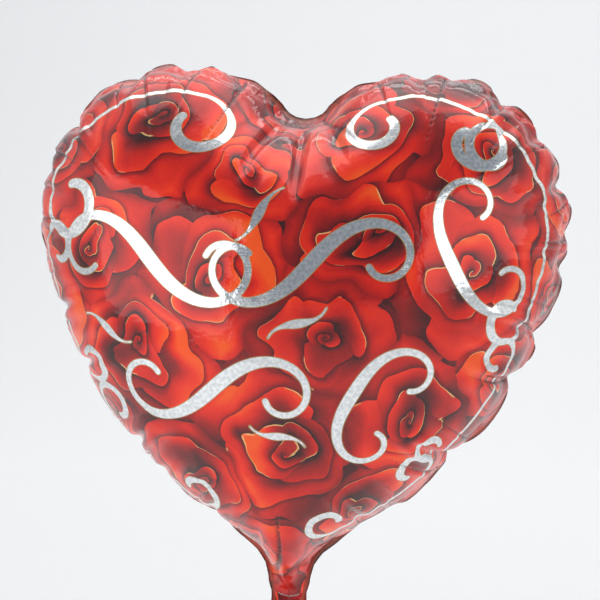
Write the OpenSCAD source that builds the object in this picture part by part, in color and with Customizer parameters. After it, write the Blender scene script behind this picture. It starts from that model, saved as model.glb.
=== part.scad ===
// Inflated heart-shaped foil balloon, held at its neck.
// Two printed film sheets are welded edge to edge. Each runs on into a flat tail,
// and a flat tube of two clear film plies, the self-sealing valve, lies in the neck.
// X runs across the heart, the printed front faces -Y, and +Z points up.
// The origin is the middle of the neck, where a ribbon or a stick holds the balloon.

/* [Heart] */
// Width over the two lobes, with the weld
heart_w = 374; // [340:1:400]
// Height of the lobes above the neck
heart_h = 360; // [340:1:380]
// Thickness of the gas-filled body
heart_t = 216; // [160:1:230]
// Radius of each round lobe
lobe_r = 112; // [105:1:120]
// Radius of the flank from a lobe down to the neck
flank_r = 340; // [300:5:400]

/* [Weld and film] */
// Width of the flat weld outside the gas space
weld_w = 6; // [4:0.5:8]
// Thickness given to one film sheet, which is a stand-in for 0.04 mm film
film_t = 0.8; // [0.6:0.1:1.2]

/* [Tail] */
// Width of the tail and the neck
tail_w = 34; // [28:1:40]
// Length of the tail below the neck
tail_l = 85; // [60:1:95]
// Radius of the tail's two lower corners
tail_corner_r = 5; // [2:1:8]
// Clear gap on each side of the fold line at the neck
fold_gap = 1.4; // [1.2:0.1:2]

/* [Valve] */
// Width of the flat valve tube
valve_w = 22; // [16:1:24]
// Length of the valve inside the heart
valve_in = 58; // [40:1:70]
// Length of the valve down the tail
valve_out = 72; // [40:1:80]
// Thickness given to one valve ply
ply_t = 0.25; // [0.2:0.05:0.3]

/* [Hidden] */

lobe_steps = 20;         // points along one lobe
flank_steps = 14;        // points along one flank
dome_steps = 12;         // rings from the weld to the crown of a panel
crown_r = 140;           // the rings turn from a heart to a circle of this radius at the crown
side_power = 0.32;       // power of the dome's profile towards the lobes and flanks
notch_power = 0.65;      // the same towards the notch, where a valley parts the lobes
neck_power = 0.42;       // the same towards the neck, where the panel runs out flat
notch_focus = 24;        // how narrowly the valley keeps to the notch
neck_focus = 8;          // how narrowly the flatter profile keeps to the neck
valve_room = 0.45;       // depth of the passage for the valve in each sheet
passage_w = valve_w + 3; // width of that passage
ply_weld_w = 3;          // width of the weld along each side of the valve
ply_gap = 0.05;          // depth of the flat channel between the valve's plies

lobe_centre = [heart_w / 2 - lobe_r, heart_h - lobe_r];
neck_corner = [tail_w / 2, fold_gap];
crown = [0, 0.565 * heart_h];

// The flank is tangent to the lobe from outside and ends at the neck's corner.
to_neck = neck_corner - lobe_centre;
flank_turn = acos((pow(norm(to_neck), 2) + pow(flank_r - lobe_r, 2) - pow(flank_r, 2))
                  / (2 * norm(to_neck) * (flank_r - lobe_r)));
flank_dir = atan2(to_neck[1], to_neck[0]) - flank_turn;
flank_centre = lobe_centre + (flank_r - lobe_r) * [cos(flank_dir), sin(flank_dir)];

function on_circle(c, r, a) = c + r * [cos(a), sin(a)];

// Right half of the heart's outline, moved inwards, from the notch down to the neck.
function right_half(inset) =
    let (r = lobe_r - inset,
         big_r = flank_r - inset,
         notch_a = acos(-lobe_centre[0] / r),
         join_a = flank_dir + 180,
         foot_a = asin((neck_corner[1] + inset - flank_centre[1]) / big_r))
    concat([for (i = [0 : lobe_steps - 1])
                on_circle(lobe_centre, r, notch_a + (join_a - notch_a) * i / lobe_steps)],
           [for (i = [0 : flank_steps])
                on_circle(flank_centre, big_r, join_a + (foot_a - join_a) * i / flank_steps)]);

// Whole outline, clockwise from the notch.
function outline(inset) =
    let (right = right_half(inset), n = len(right))
    concat(right, [for (i = [n - 1 : -1 : 1]) [-right[i][0], right[i][1]]]);

// One ring of a dome: s is 1 at the weld and 0 at the crown.
function dome_ring(edge, depth, s) =
    [for (p = edge)
        let (out = p - crown,
             reach = norm(out),
             r = s * ((1 - pow(s, 3)) * crown_r + pow(s, 3) * reach),
             up = out[1] / reach,
             power = side_power
                     + (notch_power - side_power) * pow(max(0, up), notch_focus)
                     + (neck_power - side_power) * pow(max(0, -up), neck_focus),
             at = crown + out * r / reach)
        [at[0], -depth * pow(max(0, 1 - s * s), power), at[1]]];

function flat_ring(edge, y) = [for (p = edge) [p[0], y, p[1]]];

// A dome's rings from the weld inwards, without the crown's own point.
function dome_rings(edge, depth) =
    [for (k = [dome_steps : -1 : 1]) dome_ring(edge, depth, sin(90 * k / dome_steps))];

// Film panel: the outer skin, the inner skin and the flat weld round them.
module panel() {
    outer = concat([flat_ring(outline(0), -film_t)],
                   [for (ring = dome_rings(outline(weld_w), heart_t / 2 - film_t))
                       [for (p = ring) p - [0, film_t, 0]]]);
    inner = concat([flat_ring(outline(0), 0)],
                   dome_rings(outline(weld_w + film_t), heart_t / 2 - film_t));
    n = len(outer[0]);
    m = len(outer);
    points = concat([for (ring = outer) for (p = ring) p], [[crown[0], -heart_t / 2, crown[1]]],
                    [for (ring = inner) for (p = ring) p],
                    [[crown[0], film_t - heart_t / 2, crown[1]]]);
    inner_0 = m * n + 1;
    outer_faces = [for (k = [0 : m - 2]) for (i = [0 : n - 1])
                      let (j = (i + 1) % n, a = k * n, b = a + n)
                      each [[a + i, a + j, b + j], [a + i, b + j, b + i]]];
    inner_faces = [for (f = outer_faces) [for (q = [2, 1, 0]) f[q] + inner_0]];
    crown_faces = [for (i = [0 : n - 1])
                      let (j = (i + 1) % n, b = (m - 1) * n)
                      each [[b + i, b + j, m * n],
                            [inner_0 + b + j, inner_0 + b + i, inner_0 + m * n]]];
    rim_faces = [for (i = [0 : n - 1])
                    let (j = (i + 1) % n)
                    each [[j, i, inner_0 + i], [j, inner_0 + i, inner_0 + j]]];
    difference() {
        polyhedron(points, concat(outer_faces, inner_faces, crown_faces, rim_faces));
        translate([-passage_w / 2, -valve_room, 0])
            cube([passage_w, 2 * valve_room, weld_w + 6]);
    }
}

// Tail sheet: a flat strip with a channel for the valve, open at its lower end.
module tail() {
    r = tail_corner_r;
    difference() {
        rotate([90, 0, 0])
            linear_extrude(film_t)
                union() {
                    translate([-tail_w / 2, r - tail_l]) square([tail_w, tail_l - r - fold_gap]);
                    translate([r - tail_w / 2, -tail_l]) square([tail_w - 2 * r, r]);
                    for (side = [-1, 1])
                        translate([side * (tail_w / 2 - r), r - tail_l]) circle(r, $fn = 48);
                }
        translate([-passage_w / 2, -valve_room, -tail_l - 1])
            cube([passage_w, 2 * valve_room, tail_l + 1]);
    }
}

// Valve ply: welded to its twin along both sides, with a flat channel between them.
module ply() {
    translate([0, 0, -valve_out])
        linear_extrude(valve_out + valve_in)
            polygon([[-valve_w / 2, 0], [-valve_w / 2, -ply_t], [valve_w / 2, -ply_t],
                     [valve_w / 2, 0], [valve_w / 2 - ply_weld_w, 0],
                     [valve_w / 2 - ply_weld_w, -ply_gap],
                     [ply_weld_w - valve_w / 2, -ply_gap], [ply_weld_w - valve_w / 2, 0]]);
}

module turned_to_back() { mirror([0, 1, 0]) children(); }

module front_panel() { color("crimson") panel(); }
module back_panel() { color("firebrick") turned_to_back() panel(); }
module front_tail() { color("crimson") tail(); }
module back_tail() { color("firebrick") turned_to_back() tail(); }
module valve_front_ply() { color("gainsboro") ply(); }
module valve_back_ply() { color("silver") turned_to_back() ply(); }

front_panel();
back_panel();
front_tail();
back_tail();
valve_front_ply();
valve_back_ply();
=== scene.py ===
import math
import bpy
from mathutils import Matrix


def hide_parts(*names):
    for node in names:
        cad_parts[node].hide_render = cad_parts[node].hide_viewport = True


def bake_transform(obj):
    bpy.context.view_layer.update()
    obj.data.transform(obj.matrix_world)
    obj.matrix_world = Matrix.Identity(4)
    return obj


bl_info = {
    "name": "Foil Heart Balloon",
    "version": (1, 0, 0),
    "blender": (4, 5, 0),
    "location": "View3D > Sidebar > Balloon",
    "description": "Builds an inflated heart-shaped foil balloon with a valve tail",
    "category": "Add Mesh",
}

from types import SimpleNamespace

import bpy
import numpy as np
from bpy.props import FloatProperty, FloatVectorProperty, PointerProperty
from mathutils import Quaternion, Vector, kdtree
from mathutils.geometry import delaunay_2d_cdt

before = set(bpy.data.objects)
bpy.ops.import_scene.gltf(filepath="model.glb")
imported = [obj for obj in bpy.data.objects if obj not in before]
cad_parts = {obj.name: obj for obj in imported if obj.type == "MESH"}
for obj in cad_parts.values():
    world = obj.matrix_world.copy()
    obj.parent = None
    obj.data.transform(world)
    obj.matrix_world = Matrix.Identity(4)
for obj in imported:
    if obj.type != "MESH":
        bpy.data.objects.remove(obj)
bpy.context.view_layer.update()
MM = 0.001
UV_NAME = "OFBake"
UV_SPAN = 600.0   # millimetres of flat film that one unit of the UV map covers
UV_BASE = 120.0   # height below the neck where the UV map starts
BLOWN = 0.86      # width of the blown-up heart against the flat one
LEAN_IN, LEAN_BACK = 1.5, 3.6     # millimetres that the welded rim leans over
WELD_PLY, TAIL_PLY = 0.06, 0.45   # millimetres from the middle to each ply
DART_SEEDS = (5, 11)              # front and back sheet
GOLDEN_ANGLE = math.radians(137.5)


# ---------------------------------------------------------------- flat pattern

def arc(centre, radius, start, end, step):
    """Points along an arc in the flat pattern, angles in radians."""
    count = max(2, round(abs(end - start) * radius / step))
    t = np.linspace(start, end, count + 1)
    return centre + radius * np.c_[np.cos(t), np.sin(t)]


def line(start, end, step):
    """Points along a straight line, both ends included."""
    start, end = np.array(start, float), np.array(end, float)
    count = max(1, round(np.linalg.norm(end - start) / step))
    return start + (end - start) * np.linspace(0, 1, count + 1)[:, None]


def right_edge(film, step):
    """Cut edge of the flat heart and tail, from the notch down to the mouth."""
    lobe_r, flank_r = film.lobe_r, film.flank_r
    lobe = np.array([film.flat_w / 2 - lobe_r, film.flat_h - lobe_r])
    slope = math.radians(film.tip_angle)
    along = np.array([math.cos(slope), math.sin(slope)])
    inward = np.array([-along[1], along[0]])
    neck = np.array([film.tail_w / 2, 0.0])
    # the flank touches the straight tip line and, from inside, the lobe
    start = neck + flank_r * inward - lobe
    b = start @ along
    t = -b - math.sqrt(b * b - start @ start + (flank_r - lobe_r) ** 2)
    centre = neck + t * along + flank_r * inward
    to_lobe = lobe - centre
    join = math.atan2(to_lobe[1], to_lobe[0])
    touch = math.atan2(-inward[1], -inward[0])
    # the lobes would meet at a point; a curve fills the notch a little above it
    low = np.array([0, lobe[1] + math.sqrt(lobe_r ** 2 - lobe[0] ** 2)])
    notch = math.acos((film.notch - lobe[0]) / lobe_r)
    high = lobe + lobe_r * np.array([math.cos(notch), math.sin(notch)])
    s = np.linspace(0.5, 1, max(3, round(film.notch / step)) + 1)[:, None]
    dip = (1 - s) ** 2 * high * [-1, 1] + 2 * s * (1 - s) * low + s ** 2 * high
    reach = 1.6 * film.fillet
    tip = neck + reach * along
    foot = neck - [0, reach]
    s = np.linspace(0, 1, max(3, round(2 * reach / step)) + 1)[:, None]
    fillet = (1 - s) ** 2 * tip + 2 * s * (1 - s) * neck + s ** 2 * foot
    return np.vstack([
        dip,
        arc(lobe, lobe_r, notch, join, step)[1:],
        arc(centre, flank_r, join, touch, step)[1:],
        line(neck + t * along, tip, step)[1:],
        fillet[1:],
        line(foot, (film.tail_w / 2, -film.tail_l), step)[1:],
    ])


def cut_outline(film, step):
    """Whole cut edge, clockwise from the notch, and the mouth's own points."""
    right = right_edge(film, step)
    half = film.tail_w / 2
    mouth = line((half, -film.tail_l), (-half, -film.tail_l), step)[1:-1]
    left = right[::-1] * [-1, 1]
    return np.vstack([right, mouth, left[:-1]])


def nearest_on(points, path, closed=True):
    """Distance from each point to a path, and how far along it the nearest place is."""
    if closed:
        path = np.vstack([path, path[:1]])
    a, d = path[:-1], np.diff(path, axis=0)
    length2 = (d ** 2).sum(1)
    before = np.r_[0, np.cumsum(np.sqrt(length2))][:-1]
    best = np.empty(len(points))
    where = np.empty(len(points))
    for k in range(0, len(points), 2000):
        p = points[k:k + 2000, None, :]
        t = np.clip(((p - a) * d).sum(2) / length2, 0, 1)
        gap = np.sqrt(((p - a - t[..., None] * d) ** 2).sum(2))
        i = gap.argmin(1)
        row = np.arange(len(i))
        best[k:k + 2000] = gap[row, i]
        where[k:k + 2000] = before[i] + t[row, i] * np.sqrt(length2[i])
    return best, where


def inside(points, path):
    """Which points lie inside a closed path."""
    x, y = points[:, :1], points[:, 1:]
    x1, y1 = path.T
    x2, y2 = np.roll(path, -1, axis=0).T
    crosses = ((y1 > y) != (y2 > y)) & (x < (x2 - x1) * (y - y1) / (y2 - y1 + 1e-12) + x1)
    return crosses.sum(1) % 2 == 1


def flat_sheet(film, step):
    """Triangles over the flat pattern, with a row of points on the weld's inner line."""
    edge = cut_outline(film, step)
    tangent = np.roll(edge, -1, axis=0) - np.roll(edge, 1, axis=0)
    tangent /= np.linalg.norm(tangent, axis=1)[:, None]
    weld = edge + film.weld_w * np.c_[tangent[:, 1], -tangent[:, 0]]
    weld = weld[inside(weld, edge) & (nearest_on(weld, edge)[0] > 0.93 * film.weld_w)]
    rows = []
    for j, z in enumerate(np.arange(edge[:, 1].min(), edge[:, 1].max(), step * math.sqrt(0.75))):
        x = np.arange(0, film.flat_w, step) + (j % 2) * step / 2
        x = np.unique(np.r_[-x, x])
        rows.append(np.c_[x, np.full(len(x), z)])
    grid = np.vstack(rows)
    grid = grid[inside(grid, edge)]
    grid = grid[nearest_on(grid, edge)[0] > film.weld_w + 0.62 * step]
    ring = [(i, (i + 1) % len(edge)) for i in range(len(edge))]
    spots = [Vector(p) for p in np.vstack([edge, weld, grid])]
    points, _, faces, _, _, _ = delaunay_2d_cdt(spots, ring, [], 1, 1e-5)
    flat = np.array([tuple(p) for p in points])
    faces = np.array(faces)
    a, b, c = (flat[faces[:, k]] for k in range(3))
    turn = (b[:, 0] - a[:, 0]) * (c[:, 1] - a[:, 1]) - (b[:, 1] - a[:, 1]) * (c[:, 0] - a[:, 0])
    faces[turn < 0] = faces[turn < 0][:, [0, 2, 1]]
    return flat, faces


# ------------------------------------------------------------------- inflation

def face_edges(faces):
    """Each face's three edges, lower point first, and the corner opposite each."""
    pairs = np.vstack([faces[:, [0, 1]], faces[:, [1, 2]], faces[:, [2, 0]]])
    return np.sort(pairs, axis=1), np.r_[faces[:, 2], faces[:, 0], faces[:, 1]]


def split(faces, count):
    """Cut each triangle in four; returns the faces and the split edges' end points."""
    pairs, _ = face_edges(faces)
    ends, place = np.unique(pairs, axis=0, return_inverse=True)
    m = (count + place.reshape(-1)).reshape(3, -1)
    a, b, c = m
    new = np.vstack([np.c_[faces[:, 0], a, c], np.c_[a, faces[:, 1], b],
                     np.c_[c, b, faces[:, 2]], m.T])
    return new, ends


def halfway(values, ends):
    """The values, and after them the mean at each split edge's ends."""
    return np.concatenate([values, (values[ends[:, 0]] + values[ends[:, 1]]) / 2])


def independent_sets(pairs, count):
    """Groups of pairs in which no point comes twice, so a group can move at once."""
    used = [0] * count
    group = []
    for a, b in pairs.tolist():
        mask = used[a] | used[b]
        k = (~mask & (mask + 1)).bit_length() - 1
        used[a] |= 1 << k
        used[b] |= 1 << k
        group.append(k)
    group = np.array(group)
    return [np.flatnonzero(group == k) for k in range(group.max() + 1)]


# For each mesh, coarse to fine: steps, gas force, slack of a slack link, spring of a bend.
PASSES = ((260, 0.35, 0.1, 0.0), (220, 0.25, 0.3, 0.02), (160, 0.2, 0.6, 0.03))


def relax(x, faces, push, links, bends, steps, slack, spring, sweeps=4, drag=0.92):
    """Blow the film up: gas pushes the faces, and links keep the film's lengths."""
    last = x.copy()
    for _ in range(steps):
        a, b, c = x[faces[:, 0]], x[faces[:, 1]], x[faces[:, 2]]
        force = np.cross(b - a, c - a) * push[:, None]
        moved = x + (x - last) * drag
        for k in range(3):
            total = sum(np.bincount(faces[:, q], force[:, k], len(x)) for q in range(3))
            moved[:, k] += total
        last, x = x, moved
        for _ in range(sweeps):
            for i, j, rest in links:
                d = x[j] - x[i]
                length = np.sqrt((d * d).sum(1)) + 1e-12
                w = (length - rest) / length * 0.5
                w = np.where(w < 0, w * slack, w)
                d *= w[:, None]
                x[i] += d
                x[j] -= d
            if spring:
                for i, j, rest in bends:
                    d = x[j] - x[i]
                    length = np.sqrt((d * d).sum(1)) + 1e-12
                    d *= np.maximum((length - rest) / length * -0.5 * spring, 0)[:, None] * -1
                    x[i] += d
                    x[j] -= d
    return x


def inflate(film, levels):
    """Front and back positions of the film over its flat pattern, in metres."""
    # the coarsest of the meshes: each finer one halves its triangles
    step = film.mesh_size * 2 ** (len(PASSES) - 1)
    flat, faces = flat_sheet(film, step)
    right = right_edge(film, 2.0)
    side = np.vstack([right[:0:-1] * [-1, 1], right])
    front = back = None
    for level, (steps, gain, slack, spring) in enumerate(PASSES[:levels]):
        if level:
            faces, ends = split(faces, len(flat))
            flat = halfway(flat, ends)
            front, back = halfway(front, ends), halfway(back, ends)
        depth, _ = nearest_on(flat, side, closed=False)
        welded = depth < film.weld_w + 0.3
        if front is None:
            lift = np.minimum(depth, 40) * 0.25
            lift[welded] = 0
            front = np.c_[flat[:, 0], -lift, flat[:, 1]] * MM
            back = front * [1, -1, 1]
        count = len(flat)
        twin = np.arange(count)
        twin[~welded] = count + np.arange((~welded).sum())
        x = np.vstack([front, back[~welded]])
        doubled = welded[faces].all(1)
        skin = np.vstack([faces, twin[faces[~doubled]][:, [0, 2, 1]]])
        height = flat[faces].mean(1)[:, 1]
        gas = np.where(doubled, 0, np.clip((height - film.gas_from) / 20, 0, 1))
        gas = np.r_[gas, gas[~doubled]]
        rest_x = np.vstack([flat, flat[~welded]]) * MM
        pairs, far = face_edges(skin)
        links = np.unique(pairs, axis=0)
        order = np.argsort(pairs[:, 0].astype(np.int64) * len(x) + pairs[:, 1], kind="stable")
        same = np.flatnonzero((pairs[order[1:]] == pairs[order[:-1]]).all(1))
        bends = np.c_[far[order[same]], far[order[same + 1]]]
        bend_rest = np.linalg.norm(rest_x[bends[:, 0]] - rest_x[bends[:, 1]], axis=1)
        bends = bends[bend_rest > 1e-4]
        sets = []
        for pair in (links, bends):
            rest = np.linalg.norm(rest_x[pair[:, 0]] - rest_x[pair[:, 1]], axis=1)
            sets.append([(pair[k, 0], pair[k, 1], rest[k])
                         for k in independent_sets(pair, len(x))])
        h = step * MM / 2 ** level
        push = gas * gain * 0.02 * film.firmness ** level / h
        x = relax(x, skin, push, sets[0], sets[1], steps, slack, spring)
        front = x[:count].copy()
        back = front.copy()
        back[~welded] = x[count:]
    neck = np.abs(flat[:, 1]) < 2
    shift = front[neck, 2].mean()
    front[:, 2] -= shift
    back[:, 2] -= shift
    return flat, faces, front, back


def smooth_split(faces, flat, sheets):
    """Loop subdivision of the sheets, and plain halving of the flat pattern."""
    pairs, far = face_edges(faces)
    new, ends = split(faces, len(flat))
    _, place = np.unique(pairs, axis=0, return_inverse=True)
    place = place.reshape(-1)
    uses = np.bincount(place, minlength=len(ends))
    inner = uses == 2
    valence = np.bincount(ends.reshape(-1), minlength=len(flat))
    rim = np.zeros(len(flat), bool)
    rim[ends[~inner].reshape(-1)] = True
    beta = np.where(valence == 3, 3 / 16, 3 / 8 / np.maximum(valence, 1))
    out = []
    for x in sheets:
        wings = np.zeros((len(ends), 3))
        around = np.zeros_like(x)
        for k in range(3):
            wings[:, k] = np.bincount(place, x[far, k], len(ends))
            around[:, k] = (np.bincount(ends[:, 0], x[ends[:, 1], k], len(x))
                            + np.bincount(ends[:, 1], x[ends[:, 0], k], len(x)))
        middle = (x[ends[:, 0]] + x[ends[:, 1]]) / 2
        middle[inner] = middle[inner] * 0.75 + wings[inner] / 8
        old = np.where(rim[:, None], x,
                       x * (1 - beta * valence)[:, None] + around * beta[:, None])
        out.append(np.vstack([old, middle]))
    return new, halfway(flat, ends), out


def outward(x, faces):
    """Unit normal at each point."""
    n = np.cross(x[faces[:, 1]] - x[faces[:, 0]], x[faces[:, 2]] - x[faces[:, 0]])
    total = np.zeros_like(x)
    for q in range(3):
        for k in range(3):
            total[:, k] += np.bincount(faces[:, q], n[:, k], len(x))
    return total / (np.linalg.norm(total, axis=1) + 1e-12)[:, None]


def ease(faces, flat, sheets, depth, rounds):
    """Even out the widest puckers near the weld; the sharp ones come back as darts."""
    ends, _ = np.unique(face_edges(faces)[0], axis=0, return_index=True)
    count = np.bincount(ends.reshape(-1), minlength=len(flat))
    share = 0.5 * np.clip((48 - depth) / 32, 0, 1)
    base = np.c_[flat[:, 0], np.zeros(len(flat)), flat[:, 1]] * BLOWN * MM
    out = []
    for x in sheets:
        moved = x - base
        for _ in range(rounds):
            mean = np.zeros_like(moved)
            for k in range(3):
                mean[:, k] = (np.bincount(ends[:, 0], moved[ends[:, 1], k], len(moved))
                              + np.bincount(ends[:, 1], moved[ends[:, 0], k], len(moved)))
            moved += share[:, None] * (mean / count[:, None] - moved)
        out.append(moved + base)
    return out


def gathers(film, depth, along, height, seed):
    """Inward shift, mm, of the darts and ribs that run in from the weld, and the darts' pinch,
    which sets the painted shade in their valleys.
    """
    rng = np.random.default_rng(seed)
    girth = along.max()
    inset = depth - film.weld_w
    shift = np.zeros(len(depth))
    pinch = np.zeros(len(depth))
    start = rng.uniform(0, 20)
    while start < girth:
        lean = rng.uniform(-0.25, 0.25)
        reach = rng.uniform(35, 115)
        deep = rng.uniform(1.2, 2.4)
        across = along - start - lean * np.maximum(inset, 0)
        fold = np.exp(-np.abs(across) / 1.1) - 0.3 * np.exp(-((across - 3.4) / 2.2) ** 2)
        fade = np.sqrt(np.clip(1 - inset / reach, 0, 1)) * np.clip(inset / 6, 0, 1)
        shift += deep * fold * fade
        pinch = np.maximum(pinch, deep / 2.4 * np.exp(-np.abs(across) / 1.1) * fade)
        start += rng.uniform(22, 60)
    wave = np.zeros(len(depth))
    for length, size in ((5.3, 0.5), (7.1, 0.6), (9.7, 0.7)):
        wave += size * np.sin(2 * math.pi * (along + 0.12 * depth) / length + rng.uniform(0, 6))
    patch = np.clip(np.sin(along / 31 + rng.uniform(0, 6)) + 0.3, 0, 1)
    fade = np.clip(1 - inset / 60, 0, 1) ** 1.5 * np.clip(inset / 3, 0, 1)
    shift += 0.14 * wave * patch * fade
    above = np.clip(height / 25, 0, 1)
    return shift * above, pinch * above


# ------------------------------------------------------------- nodes and sheets

def linear(hex_colour):
    """sRGB hex such as '#b01c16' as linear RGBA."""
    parts = [int(hex_colour[k:k + 2], 16) / 255 for k in (1, 3, 5)]
    return [c / 12.92 if c <= 0.04045 else ((c + 0.055) / 1.055) ** 2.4 for c in parts] + [1.0]


def add(tree, kind, inputs=None, **settings):
    """Add one node; inputs maps a socket's name or number to a value or another socket."""
    node = tree.nodes.new("ShaderNode" + kind)
    for key, value in settings.items():
        setattr(node, key, value)
    for key, value in (inputs or {}).items():
        socket = node.inputs[key]
        if isinstance(value, bpy.types.NodeSocket):
            tree.links.new(value, socket)
        else:
            socket.default_value = value
    return node


def blank_material(name):
    material = bpy.data.materials.new(name)
    material.use_nodes = True
    tree = material.node_tree
    tree.nodes.clear()
    return material, tree


def sheet_object(name, points, faces, flat=None, values=None):
    """A smooth-shaded mesh of triangles, with its flat pattern as the UV map."""
    mesh = bpy.data.meshes.new(name)
    mesh.vertices.add(len(points))
    mesh.vertices.foreach_set("co", np.ascontiguousarray(points, np.float32).ravel())
    mesh.loops.add(faces.size)
    mesh.loops.foreach_set("vertex_index", np.ascontiguousarray(faces, np.int32).ravel())
    mesh.polygons.add(len(faces))
    mesh.polygons.foreach_set("loop_start", np.arange(0, faces.size, 3, dtype=np.int32))
    mesh.update(calc_edges=True)
    mesh.validate()
    mesh.shade_smooth()
    if flat is not None:
        uv = mesh.uv_layers.new(name=UV_NAME)
        u = (flat + [UV_SPAN / 2, UV_BASE]) / UV_SPAN
        uv.uv.foreach_set("vector", u[faces.ravel()].astype(np.float32).ravel())
    for key, value in (values or {}).items():
        layer = mesh.attributes.new(key, "FLOAT", "POINT")
        layer.data.foreach_set("value", np.asarray(value, np.float32))
    piece = bpy.data.objects.new(name, mesh)
    bpy.context.scene.collection.objects.link(piece)
    return piece


# ----------------------------------------------------------------- the artwork

# Silver vines inside the cut edge: side of the heart (1 right, -1 left), start and end as
# shares of the edge's length from the notch to the mouth, depth from the edge, radius of the
# curl at each end, and half width there, in millimetres.
VINES = (
    (-1, 0.10, 0.36, 50, 26, 3.9), (1, 0.08, 0.22, 48, 22, 3.6), (1, 0.27, 0.50, 46, 20, 3.2),
    (-1, 0.45, 0.58, 44, 18, 2.8), (1, 0.56, 0.68, 42, 16, 2.6), (-1, 0.65, 0.78, 38, 19, 2.8),
    (1, 0.73, 0.83, 36, 17, 3.0),
)


def curl(point, ahead, radius, hand):
    """A spiral of most of a turn that leaves a point straight ahead and winds in."""
    turn = np.linspace(0, 5.2, 27)
    heading = math.atan2(ahead[1], ahead[0]) + hand * turn
    step = (turn[1] - turn[0]) * radius * (1 - 0.1 * turn)
    return point + np.cumsum(step[:, None] * np.c_[np.cos(heading), np.sin(heading)], axis=0)


def vine(edge, side, start, end, inset, radius, heavy, thin=1.5):
    """A silver line that follows the edge, with a curl towards the middle at each end."""
    length = np.r_[0, np.cumsum(np.linalg.norm(np.diff(edge, axis=0), axis=1))]
    at = np.linspace(start, end, 33) * length[-1]
    path = np.c_[np.interp(at, length, edge[:, 0]), np.interp(at, length, edge[:, 1])]
    ahead = np.gradient(path, axis=0)
    ahead /= np.linalg.norm(ahead, axis=1)[:, None]
    path += inset * ahead[:, ::-1] * [1, -1]
    first = curl(path[0], -ahead[0], radius, 1)[::-1]
    last = curl(path[-1], ahead[-1], radius, -1)
    swell = np.sin(np.linspace(math.pi, 0, len(first)) * 0.8)
    half = thin + (heavy - thin) * np.r_[swell, np.zeros(len(path)), swell[::-1]]
    return np.c_[np.vstack([first, path, last]) * [side, 1], half]


def scroll(x, z, size, turn, wind, heavy, thin, both=False):
    """A double spiral through (x, z): its bend grows towards both ends, as an S, or as a C."""
    t = np.linspace(-1, 1, 61)
    angle = math.radians(turn) + math.radians(wind) * t * (np.abs(t) if both else t)
    step = size * (t[1] - t[0])
    path = np.cumsum(step * np.c_[np.cos(angle), np.sin(angle)], axis=0)
    path += [x, z] - path[np.abs(t).argmin()]
    half = thin + (heavy - thin) * np.exp(-(t / 0.42) ** 2)
    return np.c_[path, half]


# The middle of the front: two rows of double spirals with leaves between them.
CENTRE = (
    scroll(-84, 256, 126, -46, 285, 5.0, thin=2.0),
    scroll(22, 262, 118, 50, -285, 4.9, thin=2.0),
    scroll(112, 258, 104, -62, 275, 4.2, both=True, thin=1.8),
    scroll(-40, 176, 118, 44, -290, 4.8, thin=2.0),
    scroll(50, 176, 92, -120, 260, 4.2, both=True, thin=1.9),
    scroll(-14, 292, 24, 70, -50, 3.2, thin=0.7),
    scroll(-118, 208, 22, -40, 60, 2.8, thin=0.7),
    scroll(14, 222, 22, 10, 60, 2.8, thin=0.7),
    scroll(2, 146, 20, 0, -60, 2.6, thin=0.7),
)


def rose_places(spread=45, count=38):
    """Roses as (x, z, size) in millimetres: a sunflower's spread about the heart's middle."""
    places = []
    for k in range(count):
        away, turn = spread * math.sqrt(k + 0.5), GOLDEN_ANGLE * k
        x, z = away * math.cos(turn), 212 + away * math.sin(turn)
        if z < 420 and abs(x) < 110 + 0.7 * z:
            places.append((x, z, 44 + 7 * (k % 3)))
    return places


def smooth_path(points, step):
    """Points every step or so along a smooth curve through the given ones."""
    p = np.array(points, float)
    p = np.vstack([2 * p[0] - p[1], p, 2 * p[-1] - p[-2]])
    out = []
    for a, b, c, d in zip(p[:-3], p[1:-2], p[2:-1], p[3:]):
        count = max(2, round(np.linalg.norm(c[:2] - b[:2]) / step))
        t = np.linspace(0, 1, count, endpoint=False)[:, None]
        out.append(0.5 * (2 * b + (c - a) * t + (2 * a - 5 * b + 4 * c - d) * t ** 2
                          + (3 * b - a - 3 * c + d) * t ** 3))
    return np.vstack(out + [p[-2:-1]])


def line_distance(flat, lines):
    """Millimetres from each point of the flat film to the rim of the nearest line."""
    cell, reach = 0.5, 9.0
    low = flat.min(0) - reach - 1
    size = np.ceil((flat.max(0) + reach + 1 - low) / cell).astype(int) + 1
    field = np.full(size, reach)
    span = int(reach / cell)
    for x, z, half in np.vstack([smooth_path(points, 0.7) for points in lines]):
        i, j = round((x - low[0]) / cell), round((z - low[1]) / cell)
        if not (span < i < size[0] - span and span < j < size[1] - span):
            continue
        dx = low[0] + cell * np.arange(i - span, i + span) - x
        dz = low[1] + cell * np.arange(j - span, j + span) - z
        part = field[i - span:i + span, j - span:j + span]
        np.minimum(part, np.hypot(dx[:, None], dz[None, :]) - half, out=part)
    at = (flat - low) / cell
    i, j = np.floor(at).astype(int).T
    u, v = (at - np.floor(at)).T
    return ((field[i, j] * (1 - u) + field[i + 1, j] * u) * (1 - v)
            + (field[i, j + 1] * (1 - u) + field[i + 1, j + 1] * u) * v)


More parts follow.
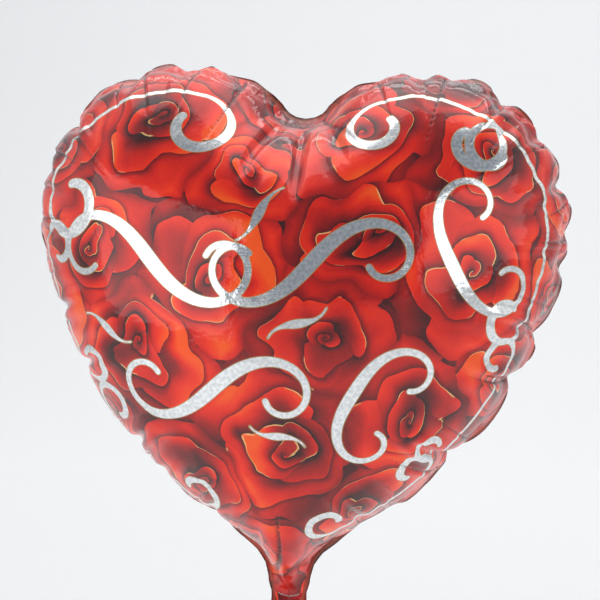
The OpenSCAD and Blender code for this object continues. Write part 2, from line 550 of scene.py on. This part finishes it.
def rose_print(tree, flat):
    """Colour of the printed roses over the flat film, as a socket."""
    drift = add(tree, "TexNoise", {"Vector": flat, "Scale": 1 / 42, "Detail": 1.0},
                noise_dimensions="2D")
    ripple = add(tree, "TexNoise", {"Vector": flat, "Scale": 1 / 9, "Detail": 2.0},
                 noise_dimensions="2D")
    bent = add(tree, "VectorMath", {0: drift.outputs["Color"], 1: (32, 32, 0), 2: flat},
               operation="MULTIPLY_ADD")
    bent = add(tree, "VectorMath", {
        0: ripple.outputs["Color"], 1: (1.6, 1.6, 0), 2: bent.outputs[0]}, operation="MULTIPLY_ADD")
    place = add(tree, "VectorMath", {0: bent.outputs[0], 1: (16.8, 16.8, 0)},
                operation="SUBTRACT").outputs[0]
    near, next_near, spot = 9.0, 9.0, (9.0, 0.0, 0.0)
    for k, (x, z, size) in enumerate(rose_places()):
        turn = 2.4 * k
        c, s = math.cos(turn), math.sin(turn)
        own = add(tree, "Mapping", {
            "Vector": place, "Location": (-(x * c - z * s) / size, -(x * s + z * c) / size, 0),
            "Rotation": (0, 0, turn), "Scale": (1 / size, 1 / size, 0)}).outputs[0]
        away = add(tree, "VectorMath", {0: own}, operation="LENGTH").outputs["Value"]
        closer = add(tree, "Math", {0: away, 1: near}, operation="LESS_THAN").outputs[0]
        chosen = add(tree, "Mix", {"Factor": closer}, data_type="VECTOR")
        for socket, value in ((chosen.inputs[4], spot), (chosen.inputs[5], own)):
            if isinstance(value, tuple):
                socket.default_value = value
            else:
                tree.links.new(value, socket)
        spot = chosen.outputs[1]
        later = add(tree, "Math", {0: near, 1: away}, operation="MAXIMUM").outputs[0]
        next_near = add(tree, "Math", {0: next_near, 1: later}, operation="MINIMUM").outputs[0]
        near = add(tree, "Math", {0: near, 1: away}, operation="MINIMUM").outputs[0]
    xyz = add(tree, "SeparateXYZ", {0: spot})
    angle = add(tree, "Math", {0: xyz.outputs[1], 1: xyz.outputs[0]},
                operation="ARCTAN2").outputs[0]
    # rings of petals: one spiral whose rim swings in where two petals meet
    rings = add(tree, "Math", {0: near, 1: 0.6}, operation="POWER").outputs[0]
    turns = add(tree, "Math", {0: angle, 1: -0.5 / math.pi}, operation="MULTIPLY").outputs[0]
    spiral = add(tree, "Math", {0: rings, 1: 3.9, 2: turns}, operation="MULTIPLY_ADD").outputs[0]
    twist = add(tree, "Math", {0: spiral, 1: math.pi / 2}, operation="MULTIPLY").outputs[0]
    phase = add(tree, "Math", {0: angle, 1: 1.25, 2: twist}, operation="MULTIPLY_ADD").outputs[0]
    wave = add(tree, "Math", {0: phase}, operation="SINE").outputs[0]
    crown = add(tree, "Math", {0: wave}, operation="ABSOLUTE").outputs[0]
    dip = add(tree, "Math", {0: 1.0, 1: crown}, operation="SUBTRACT").outputs[0]
    swing = add(tree, "MapRange", {"Value": near, 1: 0.0, 2: 0.3, 3: 0.12, 4: 0.5}).outputs[0]
    petals = add(tree, "Math", {0: dip, 1: swing, 2: spiral}, operation="MULTIPLY_ADD").outputs[0]
    across = add(tree, "Math", {0: petals}, operation="FRACT").outputs[0]
    ring = add(tree, "Math", {0: petals}, operation="FLOOR").outputs[0]
    order = add(tree, "Math", {0: phase, 1: math.pi}, operation="DIVIDE").outputs[0]
    order = add(tree, "Math", {0: order}, operation="FLOOR").outputs[0]
    number = add(tree, "Math", {0: ring, 1: 2.0, 2: order}, operation="MULTIPLY_ADD").outputs[0]
    own_tone = add(tree, "TexWhiteNoise", {"W": number}, noise_dimensions="1D").outputs["Value"]
    # light on the petals: a shadow outside each rim that fades towards the next
    heart = add(tree, "MapRange", {"Value": near, 1: 0.0, 2: 0.6, 3: 1.0, 4: 0.0}).outputs[0]
    fade = add(tree, "MapRange", {"Value": heart, 3: -3.4, 4: -1.7}).outputs[0]
    fade = add(tree, "Math", {0: across, 1: fade}, operation="MULTIPLY").outputs[0]
    fade = add(tree, "Math", {0: fade}, operation="EXPONENT").outputs[0]
    depth = add(tree, "MapRange", {"Value": heart, 3: 0.6, 4: 0.86}).outputs[0]
    shade = add(tree, "Math", {0: fade, 1: depth}, operation="MULTIPLY").outputs[0]
    tone = add(tree, "Math", {0: 0.84, 1: shade}, operation="SUBTRACT").outputs[0]
    rim = add(tree, "MapRange", {"Value": across, 1: 0.7, 2: 1.0, 3: 0.0, 4: 0.07},
              interpolation_type="SMOOTHSTEP").outputs[0]
    tone = add(tree, "Math", {0: tone, 1: rim}, operation="ADD").outputs[0]
    side = add(tree, "MapRange", {"Value": crown, 3: 0.8, 4: 1.04}).outputs[0]
    tone = add(tree, "Math", {0: tone, 1: side}, operation="MULTIPLY").outputs[0]
    change = add(tree, "MapRange", {"Value": own_tone, 3: -0.1, 4: 0.1}).outputs[0]
    tone = add(tree, "Math", {0: tone, 1: change}, operation="ADD").outputs[0]
    # one side of each rose lies in its own deep shade
    hollow = add(tree, "VectorMath", {0: spot, 1: (0.3, 0.16, 0)}, operation="DISTANCE")
    hollow = add(tree, "MapRange", {"Value": hollow.outputs["Value"], 1: 0.05, 2: 0.5, 3: 0.5,
                                    4: 1.0}, interpolation_type="SMOOTHSTEP").outputs[0]
    tone = add(tree, "Math", {0: tone, 1: hollow}, operation="MULTIPLY").outputs[0]
    gap = add(tree, "Math", {0: next_near, 1: near}, operation="SUBTRACT").outputs[0]
    gap = add(tree, "MapRange", {"Value": gap, 1: 0.0, 2: 0.26, 3: 0.6, 4: 1.0}).outputs[0]
    tone = add(tree, "Math", {0: tone, 1: gap}, operation="MULTIPLY").outputs[0]
    cloud = add(tree, "TexNoise", {"Vector": flat, "Scale": 1 / 60, "Detail": 2.0},
                noise_dimensions="2D").outputs[0]
    cloud = add(tree, "MapRange", {"Value": cloud, 1: 0.3, 2: 0.7, 3: 0.66, 4: 1.3}).outputs[0]
    tone = add(tree, "Math", {0: tone, 1: cloud}, operation="MULTIPLY").outputs[0]
    grain = add(tree, "TexNoise", {"Vector": flat, "Scale": 0.5, "Detail": 2.0},
                noise_dimensions="2D").outputs[0]
    grain = add(tree, "MapRange", {"Value": grain, 3: -0.04, 4: 0.04}).outputs[0]
    tone = add(tree, "Math", {0: tone, 1: grain}, operation="ADD").outputs[0]
    ramp = add(tree, "ValToRGB", {0: tone})
    stops = ramp.color_ramp.elements
    while len(stops) < len(PETAL_TONES):
        stops.new(0.5)
    for stop, (at, colour) in zip(stops, PETAL_TONES):
        stop.position = at
        stop.color = linear(colour)
    # fine gold rims on some of the inner petals
    width = add(tree, "Math", {0: near, 1: 0.4}, operation="POWER").outputs[0]
    left = add(tree, "Math", {0: 1.0, 1: across}, operation="SUBTRACT").outputs[0]
    inset = add(tree, "Math", {0: width, 1: left}, operation="MULTIPLY").outputs[0]
    rim_line = add(tree, "MapRange", {"Value": inset, 1: 0.01, 2: 0.03, 3: 0.9, 4: 0.0}).outputs[0]
    some = add(tree, "TexNoise", {"Vector": flat, "Scale": 1 / 24, "Detail": 1.0},
               noise_dimensions="2D").outputs[0]
    some = add(tree, "MapRange", {"Value": some, 1: 0.53, 2: 0.6}).outputs[0]
    within = add(tree, "MapRange", {"Value": near, 1: 0.7, 2: 0.85, 3: 0.85, 4: 0.0}).outputs[0]
    gold = add(tree, "Math", {0: rim_line, 1: some}, operation="MULTIPLY").outputs[0]
    gold = add(tree, "Math", {0: gold, 1: within}, operation="MULTIPLY").outputs[0]
    return ramp.outputs[0], gold


# dark folds, shadowed and lit petals, and the orange of their thinnest rims
PETAL_TONES = ((0.0, "#14060a"), (0.2, "#48080e"), (0.42, "#960c0c"), (0.62, "#d41808"),
               (0.8, "#ee2c08"), (1.0, "#f8540f"))


# Polyester film with a vacuum-deposited layer of aluminium behind it, gravure
# printed in see-through inks. Where it is bare it mirrors the room with fine
# streaks from the rollers; the ink turns the same mirror into deep, glossy red.
def printed_film(look):
    material, tree = blank_material("Gravure-printed metallised polyester film")
    uv = add(tree, "UVMap", uv_map=UV_NAME).outputs[0]
    flat = add(tree, "VectorMath", {0: uv, 1: (UV_SPAN,) * 3, 2: (-UV_SPAN / 2, -UV_BASE, 0)},
               operation="MULTIPLY_ADD").outputs[0]
    ink, gold = rose_print(tree, flat)
    gilt = add(tree, "Mix", {"Factor": gold, 6: ink, 7: tuple(look.gold)}, data_type="RGBA")
    rim = add(tree, "Attribute", attribute_name="scroll").outputs["Fac"]
    bare = add(tree, "MapRange", {"Value": rim, 1: -0.25, 2: 0.25, 3: 1.0, 4: 0.0}).outputs[0]
    # a hairline where the yellow ink stops later than the red
    fringe = add(tree, "MapRange", {"Value": rim, 1: 0.25, 2: 0.75, 3: 0.75, 4: 0.0}).outputs[0]
    printed = add(tree, "Mix", {"Factor": fringe, 6: gilt.outputs[2], 7: tuple(look.fringe)},
                  data_type="RGBA")
    # the welded rim keeps the brown of overprinted inks, darkest at its cut edge
    depth = add(tree, "Attribute", attribute_name="edge").outputs["Fac"]
    weld = add(tree, "MapRange", {"Value": depth, 1: 5.4, 2: 6.4, 3: 0.8, 4: 0.0}).outputs[0]
    cut = add(tree, "MapRange", {"Value": depth, 1: 0.8, 2: 2.4, 3: 1.0, 4: 0.0}).outputs[0]
    heat = add(tree, "Mix", {"Factor": cut, 6: tuple(look.weld), 7: tuple(look.cut_edge_and_dart_shade)},
               data_type="RGBA")
    printed = add(tree, "Mix", {"Factor": weld, 6: printed.outputs[2], 7: heat.outputs[2]},
                  data_type="RGBA")
    # roller streaks, really about 0.1 mm apart, drawn at 0.8 mm so that they show
    rolled = add(tree, "Mapping", {"Vector": flat, "Rotation": (0, 0, math.radians(24)),
                                   "Scale": (0.04, 1.2, 1)}).outputs[0]
    streak = add(tree, "TexNoise", {"Vector": rolled, "Scale": 1.0, "Detail": 3.0},
                 noise_dimensions="2D").outputs[0]
    mottle = add(tree, "TexNoise", {"Vector": flat, "Scale": 0.4, "Detail": 3.0},
                 noise_dimensions="2D").outputs[0]
    mottle = add(tree, "MapRange", {"Value": mottle, 1: 0.35, 2: 0.65}).outputs[0]
    silver = add(tree, "Mix", {"Factor": mottle, 6: tuple(look.silver_dark),
                               7: tuple(look.silver)}, data_type="RGBA")
    colour = add(tree, "Mix", {"Factor": bare, 6: printed.outputs[2], 7: silver.outputs[2]},
                 data_type="RGBA")
    # a sharp dart shuts on itself, and its valley is in its own shade: painted shade, darkened
    # towards the cut-edge colour where the dart is pinched
    pinch = add(tree, "Attribute", attribute_name="pinch").outputs["Fac"]
    pinch = add(tree, "MapRange", {"Value": pinch, 1: 0.12, 2: 0.45, 3: 0.0, 4: 0.85}).outputs[0]
    colour = add(tree, "Mix", {"Factor": pinch, 6: colour.outputs[2], 7: tuple(look.cut_edge_and_dart_shade)},
                 data_type="RGBA")
    metal = add(tree, "MapRange", {"Value": bare, 3: 0.25, 4: 1.0}).outputs[0]
    brushed = add(tree, "MapRange", {"Value": streak, 1: 0.3, 2: 0.7, 3: 0.06, 4: 0.2}).outputs[0]
    rough = add(tree, "Mix", {"Factor": bare, 2: 0.34, 3: brushed}, data_type="FLOAT").outputs[0]
    # ripples left in the film by the rollers and by packing, a few microns high
    packed = add(tree, "TexNoise", {"Vector": flat, "Scale": 0.09, "Detail": 3.0},
                 noise_dimensions="2D").outputs[0]
    height = add(tree, "Math", {0: streak, 1: 0.006, 2: packed},
                 operation="MULTIPLY_ADD").outputs[0]
    # ribs about 3 mm apart where the film is gathered, running in from the weld
    along = add(tree, "Attribute", attribute_name="along").outputs["Fac"]
    gather = add(tree, "CombineXYZ", {0: along, 1: depth}).outputs[0]
    gather = add(tree, "VectorMath", {0: gather, 1: (0.3, 0.012, 0)},
                 operation="MULTIPLY").outputs[0]
    ribs = add(tree, "TexNoise", {"Vector": gather, "Scale": 1.0, "Detail": 1.0},
               noise_dimensions="2D").outputs[0]
    near_weld = add(tree, "MapRange", {"Value": depth, 1: 20.0, 2: 84.0, 3: 1.1, 4: 0.0}).outputs[0]
    ribs = add(tree, "Math", {0: ribs, 1: near_weld}, operation="MULTIPLY").outputs[0]
    height = add(tree, "Math", {0: height, 1: ribs}, operation="ADD").outputs[0]
    bump = add(tree, "Bump", {"Height": height, "Strength": 0.5, "Distance": 0.0006}).outputs[0]
    bsdf = add(tree, "BsdfPrincipled", {
        "Base Color": colour.outputs[2], "Metallic": metal, "Roughness": rough, "Normal": bump,
        "Specular IOR Level": 0.2, "Coat Weight": 0.6, "Coat Roughness": 0.06, "Coat IOR": 1.6,
        "Coat Normal": bump})
    add(tree, "OutputMaterial", {"Surface": bsdf.outputs[0]})
    return material


# Blown polyethylene film, left clear: milky where it lies in two plies, with a
# soft satin shine and faint lines along the direction it was drawn in.
def valve_film(look):
    material, tree = blank_material("Blown polyethylene valve film")
    uv = add(tree, "UVMap", uv_map=UV_NAME).outputs[0]
    flat = add(tree, "VectorMath", {0: uv, 1: (UV_SPAN,) * 3}, operation="MULTIPLY").outputs[0]
    # draw lines, really about 0.3 mm apart, drawn at 1 mm
    drawn = add(tree, "Mapping", {"Vector": flat, "Scale": (1.0, 0.03, 1)}).outputs[0]
    lines = add(tree, "TexNoise", {"Vector": drawn, "Scale": 1.0, "Detail": 3.0},
                noise_dimensions="2D").outputs[0]
    tint = add(tree, "Mix", {"Factor": lines, 6: tuple(look.valve_dark), 7: tuple(look.valve)},
               data_type="RGBA")
    rough = add(tree, "MapRange", {"Value": lines, 3: 0.22, 4: 0.42}).outputs[0]
    bump = add(tree, "Bump", {"Height": lines, "Strength": 0.3, "Distance": 0.0002}).outputs[0]
    bsdf = add(tree, "BsdfPrincipled", {
        "Base Color": tint.outputs[2], "Roughness": rough, "Normal": bump, "IOR": 1.51,
        "Transmission Weight": 0.6})
    add(tree, "OutputMaterial", {"Surface": bsdf.outputs[0]})
    return material


# -------------------------------------------------------------------- settings

def length(name, description, default):
    return FloatProperty(name=name, description=description, default=default, unit="LENGTH")


def colour(name, description, hex_colour):
    return FloatVectorProperty(name=name, description=description, subtype="COLOR", size=4,
                               default=linear(hex_colour))


class FilmSettings(bpy.types.PropertyGroup):
    """Sizes of one flat film sheet before the balloon is blown up"""
    flat_w: length("Flat width", "Width of the flat heart", 0.457)
    flat_h: length("Flat height", "Height of the flat heart's lobes above the neck", 0.428)
    lobe_r: length("Lobe radius", "Radius of each flat lobe", 0.151)
    flank_r: length("Flank radius", "Radius of the flat sides below the lobes", 0.290)
    notch: length("Notch curve", "Half width of the curve that fills the notch", 0.018)
    tip_angle: FloatProperty(
        name="Tip slope", description="Slope of the straight edges that meet at the tip",
        default=math.radians(27.2), unit="ROTATION")
    tail_w: length("Tail width", "Width of the filling tail", 0.034)
    tail_l: length("Tail length", "Length of the tail below the neck", 0.085)
    fillet: length("Neck curve", "Size of the curve from the heart into the tail", 0.014)
    weld_w: length("Weld width", "Width of the weld round the edge", 0.006)
    mesh_size: length("Mesh size", "Triangle side when the film has been blown up", 0.003)
    gas_from: length("Gas from", "Height above the neck where the gas starts", -0.008)
    firmness: FloatProperty(
        name="Finer-mesh force", description="Gas force on each finer mesh, against the last one",
        default=0.35)


class ValveSettings(bpy.types.PropertyGroup):
    """Sizes of the two plies of the filling valve"""
    width: length("Valve width", "Width of each valve ply", 0.019)
    inner: length("Inner end", "Height of the valve's end above the neck", 0.056)
    outer: length("Outer end", "Depth of the valve's end below the neck", 0.070)


class PrintSettings(bpy.types.PropertyGroup):
    """Colours of the print and of the bare film, and of the painted shade in the darts' valleys"""
    gold: colour("Petal rim", "Fine gold rims of the inner petals", "#f2cf86")
    fringe: colour("Scroll fringe", "Hairline of yellow ink round the silver scrolls", "#a8862c")
    weld: colour("Weld", "Brown of the overprinted inks on the weld", "#8a3a1e")
    # the same colour also paints the shade in the valleys of the sharp darts
    cut_edge_and_dart_shade: colour("Cut edge", "Dark line along the cut edge", "#3c0a0a")
    silver: colour("Silver", "Bare aluminium seen through clear film", "#eceeee")
    silver_dark: colour("Silver mottle", "Duller patches of the bare aluminium", "#cdd2d6")
    valve: colour("Valve", "Clear valve film", "#f1f2f0")
    valve_dark: colour("Valve lines", "Draw lines in the valve film", "#d9dcdb")


class StageSettings(bpy.types.PropertyGroup):
    """Camera, light and backdrop"""
    azimuth: FloatProperty(
        name="Azimuth", description="How far the camera stands to the object's right",
        default=math.radians(8), unit="ROTATION")
    elevation: FloatProperty(
        name="Elevation", description="How far the camera looks down",
        default=math.radians(6), unit="ROTATION")
    roll: FloatProperty(
        name="Roll", description="Turn of the camera about its own axis",
        default=math.radians(2.2), unit="ROTATION")
    distance: length("Distance", "From the camera to the middle of the view", 1.5)
    lens: FloatProperty(
        name="Focal length", description="Focal length of the lens, mm", default=130.4,
        unit="CAMERA")
    paper: colour("Backdrop", "White paper sweep", "#f5f5f5")
    room: colour("Room", "Grey of the room that the film mirrors", "#9a9fa5")


def in_mm(settings):
    """The film's settings in millimetres, and its angle in degrees."""
    film = {key: getattr(settings, key) / MM for key in FilmSettings.__annotations__}
    film["firmness"] = settings.firmness
    film["tip_angle"] = math.degrees(settings.tip_angle)
    return SimpleNamespace(**film)


# ------------------------------------------------------------------- operators

class BALLOON_OT_films(bpy.types.Operator):
    """Blow up the two welded film sheets"""
    bl_idname = "balloon.films"
    bl_label = "Film Sheets"

    def execute(self, context):
        film = in_mm(context.scene.balloon_film)
        flat, faces, front, back = inflate(film, 3)
        outline = cut_outline(film, 1.0)
        depth, _ = nearest_on(flat, outline)
        front, back = ease(faces, flat, (front, back), depth, 10)
        joined = depth < film.weld_w + 0.3
        joined &= flat[:, 1] > -film.tail_l + 3
        front[joined] = back[joined] = (front[joined] + back[joined]) / 2
        for _ in range(1):
            faces, flat, (front, back) = smooth_split(faces, flat, (front, back))
        mouth = int(np.hypot(outline[:, 0], outline[:, 1] + film.tail_l).argmin())
        outline = np.roll(outline, -mouth, axis=0)
        depth, along = nearest_on(flat, outline)
        # the welded rim leans over to the back
        step = np.roll(outline, -1, axis=0) - outline
        place = np.r_[0, np.cumsum(np.linalg.norm(step, axis=1))][:-1]
        step = step[np.clip(np.searchsorted(place, along), 0, len(step) - 1)]
        step /= np.linalg.norm(step, axis=1)[:, None]
        lean = np.clip(1 - depth / film.weld_w, 0, 1) * np.clip(flat[:, 1] / 25, 0, 1)
        lean = lean[:, None] * np.c_[step[:, 1] * LEAN_IN, np.full(len(step), LEAN_BACK),
                                     -step[:, 0] * LEAN_IN]
        front = front + lean * MM
        back = back + lean * MM
        # the welded plies lie a film's thickness apart, and the tail's plies
        # leave room for the valve between them
        facing = outward(front, faces)
        weld = np.clip((film.weld_w + 1.5 - depth) / 1.5, 0, 1)
        back_faces = faces[:, [0, 2, 1]]
        # each dart's pinch becomes the mask of the painted shade in its valley
        darts = [gathers(film, depth, along, flat[:, 1], seed) for seed in DART_SEEDS]
        pulled = [front - facing * darts[0][0][:, None] * MM,
                  back - outward(back, back_faces) * darts[1][0][:, None] * MM]
        room = np.clip((depth - film.weld_w) / 3, 0, 1) * np.clip(-(flat[:, 1] - 30) / 30, 0, 1)
        half = WELD_PLY * weld + TAIL_PLY * room
        gap = np.abs(((pulled[0] - pulled[1]) * facing).sum(1)) / MM / 2
        lift = (np.maximum(half - gap, 0) * MM)[:, None] * facing
        front, back = pulled[0] + lift, pulled[1] - lift
        material = printed_film(context.scene.balloon_print)
        edge = right_edge(film, 2.0)
        lines = CENTRE + tuple(vine(edge, *row) for row in VINES)
        # both sheets come off the same plate, so each reads the same way from outside
        for name, x, tri, nodes, print_x, pinch in (
                ("front_film", front, faces, ("front_panel", "front_tail"), 1, darts[0][1]),
                ("back_film", back, back_faces, ("back_panel", "back_tail"), -1, darts[1][1])):
            plate = flat * [print_x, 1]
            piece = sheet_object(name, x, tri, plate, {
                "edge": depth, "along": along, "pinch": pinch,
                "scroll": line_distance(plate, lines)})
            piece.data.materials.append(material)
            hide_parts(*nodes)
            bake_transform(piece)
        return {"FINISHED"}


class BALLOON_OT_valve(bpy.types.Operator):
    """Lay the two valve plies in the neck, half way between the film sheets"""
    bl_idname = "balloon.valve"
    bl_label = "Valve Plies"

    def execute(self, context):
        valve = context.scene.balloon_valve
        film = in_mm(context.scene.balloon_film)
        sheets = []
        for name in ("front_film", "back_film"):
            mesh = bpy.data.objects[name].data
            x = np.empty(len(mesh.vertices) * 3, np.float32)
            mesh.vertices.foreach_get("co", x)
            sheets.append(x.reshape(-1, 3))
        uv = np.zeros((len(sheets[0]), 2), np.float32)
        mesh = bpy.data.objects["front_film"].data
        loops = np.empty(len(mesh.loops), np.int32)
        mesh.loops.foreach_get("vertex_index", loops)
        spots = np.empty(len(loops) * 2, np.float32)
        mesh.uv_layers[UV_NAME].uv.foreach_get("vector", spots)
        uv[loops] = spots.reshape(-1, 2)
        flat = uv * UV_SPAN - [UV_SPAN / 2, UV_BASE]
        near = np.flatnonzero((np.abs(flat[:, 0]) < 20) & (flat[:, 1] < 90))
        tree = kdtree.KDTree(len(near))
        for k in near:
            tree.insert((flat[k, 0], flat[k, 1], 0), int(k))
        tree.balance()
        half = valve.width / MM / 2
        columns = np.linspace(-half, half, 13)
        rows = np.arange(-valve.outer / MM, valve.inner / MM + 0.1, 1.5)
        grid = np.array([(x, z) for z in rows for x in columns])
        middle = (sheets[0] + sheets[1]) / 2
        place = []
        for x, z in grid:
            found = tree.find_n((x, z, 0), 6)
            weight = np.array([1 / (gap + 0.3) for _, _, gap in found])
            between = weight @ middle[[k for _, k, _ in found]] / weight.sum()
            # above the neck there is room for it to stand straight
            free = min(max((z + 6) / 14, 0), 1)
            place.append(between * (1 - free) + np.array([x, 0, z]) * MM * free)
        place = np.array(place)
        count = len(columns)
        quads = [(r * count + c, r * count + c + 1, (r + 1) * count + c + 1, (r + 1) * count + c)
                 for r in range(len(rows) - 1) for c in range(count - 1)]
        tris = np.array([t for a, b, c, d in quads for t in ((a, b, c), (a, c, d))])
        facing = outward(place, tris)
        material = valve_film(context.scene.balloon_print)
        for name, side, tri, node in (("valve_front", 1, tris, "valve_front_ply"),
                                      ("valve_back", -1, tris[:, [0, 2, 1]], "valve_back_ply")):
            # the plies are welded together along their two long sides
            loose = np.clip((half - np.abs(grid[:, 0])) / 2.5, 0, 1)
            offset = side * (0.04 + 0.08 * loose) * MM
            piece = sheet_object(name, place + facing * offset[:, None], tri, grid)
            piece.data.materials.append(material)
            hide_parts(node)
            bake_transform(piece)
        return {"FINISHED"}


class BALLOON_OT_stage(bpy.types.Operator):
    """Set the backdrop, the lights and the camera"""
    bl_idname = "balloon.stage"
    bl_label = "Stage"

    def execute(self, context):
        scene = context.scene
        stage = scene.balloon_stage
        scene.view_settings.view_transform = "Standard"
        self.sweep(scene, stage)
        world = bpy.data.worlds.new("studio")
        world.use_nodes = True
        tree = world.node_tree
        tree.nodes.clear()
        seen = add(tree, "LightPath").outputs["Is Camera Ray"]
        # white all round, and the grey depth of the room in front of the balloon
        way = add(tree, "TexCoord").outputs["Generated"]
        ahead = add(tree, "VectorMath", {0: way, 1: (0.14, -0.96, 0.2)}, operation="DOT_PRODUCT")
        ahead = add(tree, "MapRange", {"Value": ahead.outputs["Value"], 1: 0.2, 2: 0.6},
                    interpolation_type="SMOOTHSTEP").outputs[0]
        walls = add(tree, "Mix", {"Factor": ahead, 6: tuple(stage.paper), 7: tuple(stage.room)},
                    data_type="RGBA")
        tone = add(tree, "Mix", {"Factor": seen, 6: walls.outputs[2], 7: tuple(stage.paper)},
                   data_type="RGBA")
        room = add(tree, "Background", {"Color": tone.outputs[2], "Strength": 1.0})
        add(tree, "OutputWorld", {"Surface": room.outputs[0]})
        scene.world = world
        aim = Vector((0, 0, 0.18))
        for name, place, size, power in (
                ("soft_left", (-1.15, -1.2, 0.36), (1.4, 1.4), 8.5),
                ("soft_right", (1.35, -0.95, 0.62), (1.6, 1.2), 7.5),
                ("soft_top", (0.0, 0.3, 1.8), (2.0, 1.2), 9),
                ("backdrop_light", (0.0, 3.0, 3.4), (4.0, 1.5), 62)):
            light = bpy.data.lights.new(name, "AREA")
            light.shape = "RECTANGLE"
            light.size, light.size_y = size
            light.energy = power
            lamp = bpy.data.objects.new(name, light)
            lamp.location = place
            target = aim if name != "backdrop_light" else Vector((0, 4.7, 0.4))
            lamp.rotation_euler = (target - Vector(place)).to_track_quat("-Z", "Y").to_euler()
            scene.collection.objects.link(lamp)
        camera = bpy.data.cameras.new("camera")
        eye = bpy.data.objects.new("camera", camera)
        az, el = stage.azimuth, stage.elevation
        away = Vector((math.sin(az) * math.cos(el), -math.cos(az) * math.cos(el), math.sin(el)))
        eye.location = Vector((0.0005, 0.0036, 0.1945)) + away * stage.distance
        turned = (-away).to_track_quat("-Z", "Y") @ Quaternion((0, 0, 1), stage.roll)
        eye.rotation_euler = turned.to_euler()
        camera.lens = stage.lens
        scene.collection.objects.link(eye)
        scene.camera = eye
        return {"FINISHED"}

    def sweep(self, scene, stage):
        """Floor and wall of white paper with a large curve between them."""
        floor, wall, bend = -0.5, 5.0, 2.0
        profile = [(-6.0, floor)]
        for k in range(17):
            a = math.radians(90 * k / 16)
            profile.append((wall - bend + bend * math.sin(a), floor + bend * (1 - math.cos(a))))
        profile.append((wall, 6.0))
        points = np.array([(x, y, z) for x in (-8.0, 8.0) for y, z in profile])
        n = len(profile)
        faces = np.array([t for k in range(n - 1)
                          for t in ((k, k + n, k + n + 1), (k, k + n + 1, k + 1))])
        sweep = sheet_object("sweep", points, faces)
        # Bleached paper off the roll: matt, almost white, with a faint tooth
        material, tree = blank_material("Rolled studio paper")
        place = add(tree, "TexCoord").outputs["Object"]
        tooth = add(tree, "TexNoise", {"Vector": place, "Scale": 400.0}).outputs[0]
        bump = add(tree, "Bump", {"Height": tooth, "Strength": 0.1, "Distance": 0.0002}).outputs[0]
        bsdf = add(tree, "BsdfPrincipled", {
            "Base Color": tuple(stage.paper), "Roughness": 0.85, "Normal": bump})
        add(tree, "OutputMaterial", {"Surface": bsdf.outputs[0]})
        sweep.data.materials.append(material)


class BALLOON_PT_panel(bpy.types.Panel):
    """Lists the balloon's settings and its parts"""
    bl_idname = "BALLOON_PT_panel"
    bl_label = "Foil Heart Balloon"
    bl_space_type = "VIEW_3D"
    bl_region_type = "UI"
    bl_category = "Balloon"

    def draw(self, context):
        for cls, group in ((BALLOON_OT_films, "balloon_film"), (BALLOON_OT_valve, "balloon_valve"),
                           (None, "balloon_print"), (BALLOON_OT_stage, "balloon_stage")):
            box = self.layout.box()
            settings = getattr(context.scene, group)
            for key in settings.__class__.__annotations__:
                box.prop(settings, key)
            if cls:
                box.operator(cls.bl_idname)


GROUPS = {"balloon_film": FilmSettings, "balloon_valve": ValveSettings,
          "balloon_print": PrintSettings, "balloon_stage": StageSettings}
CLASSES = (*GROUPS.values(), BALLOON_OT_films, BALLOON_OT_valve, BALLOON_OT_stage,
           BALLOON_PT_panel)


def register():
    for cls in CLASSES:
        bpy.utils.register_class(cls)
    for name, group in GROUPS.items():
        setattr(bpy.types.Scene, name, PointerProperty(type=group))


def unregister():
    for name in GROUPS:
        delattr(bpy.types.Scene, name)
    for cls in reversed(CLASSES):
        bpy.utils.unregister_class(cls)


def main():
    register()
    bpy.ops.balloon.films()
    bpy.ops.balloon.valve()
    bpy.ops.balloon.stage()


if __name__ == "__main__":
    main()
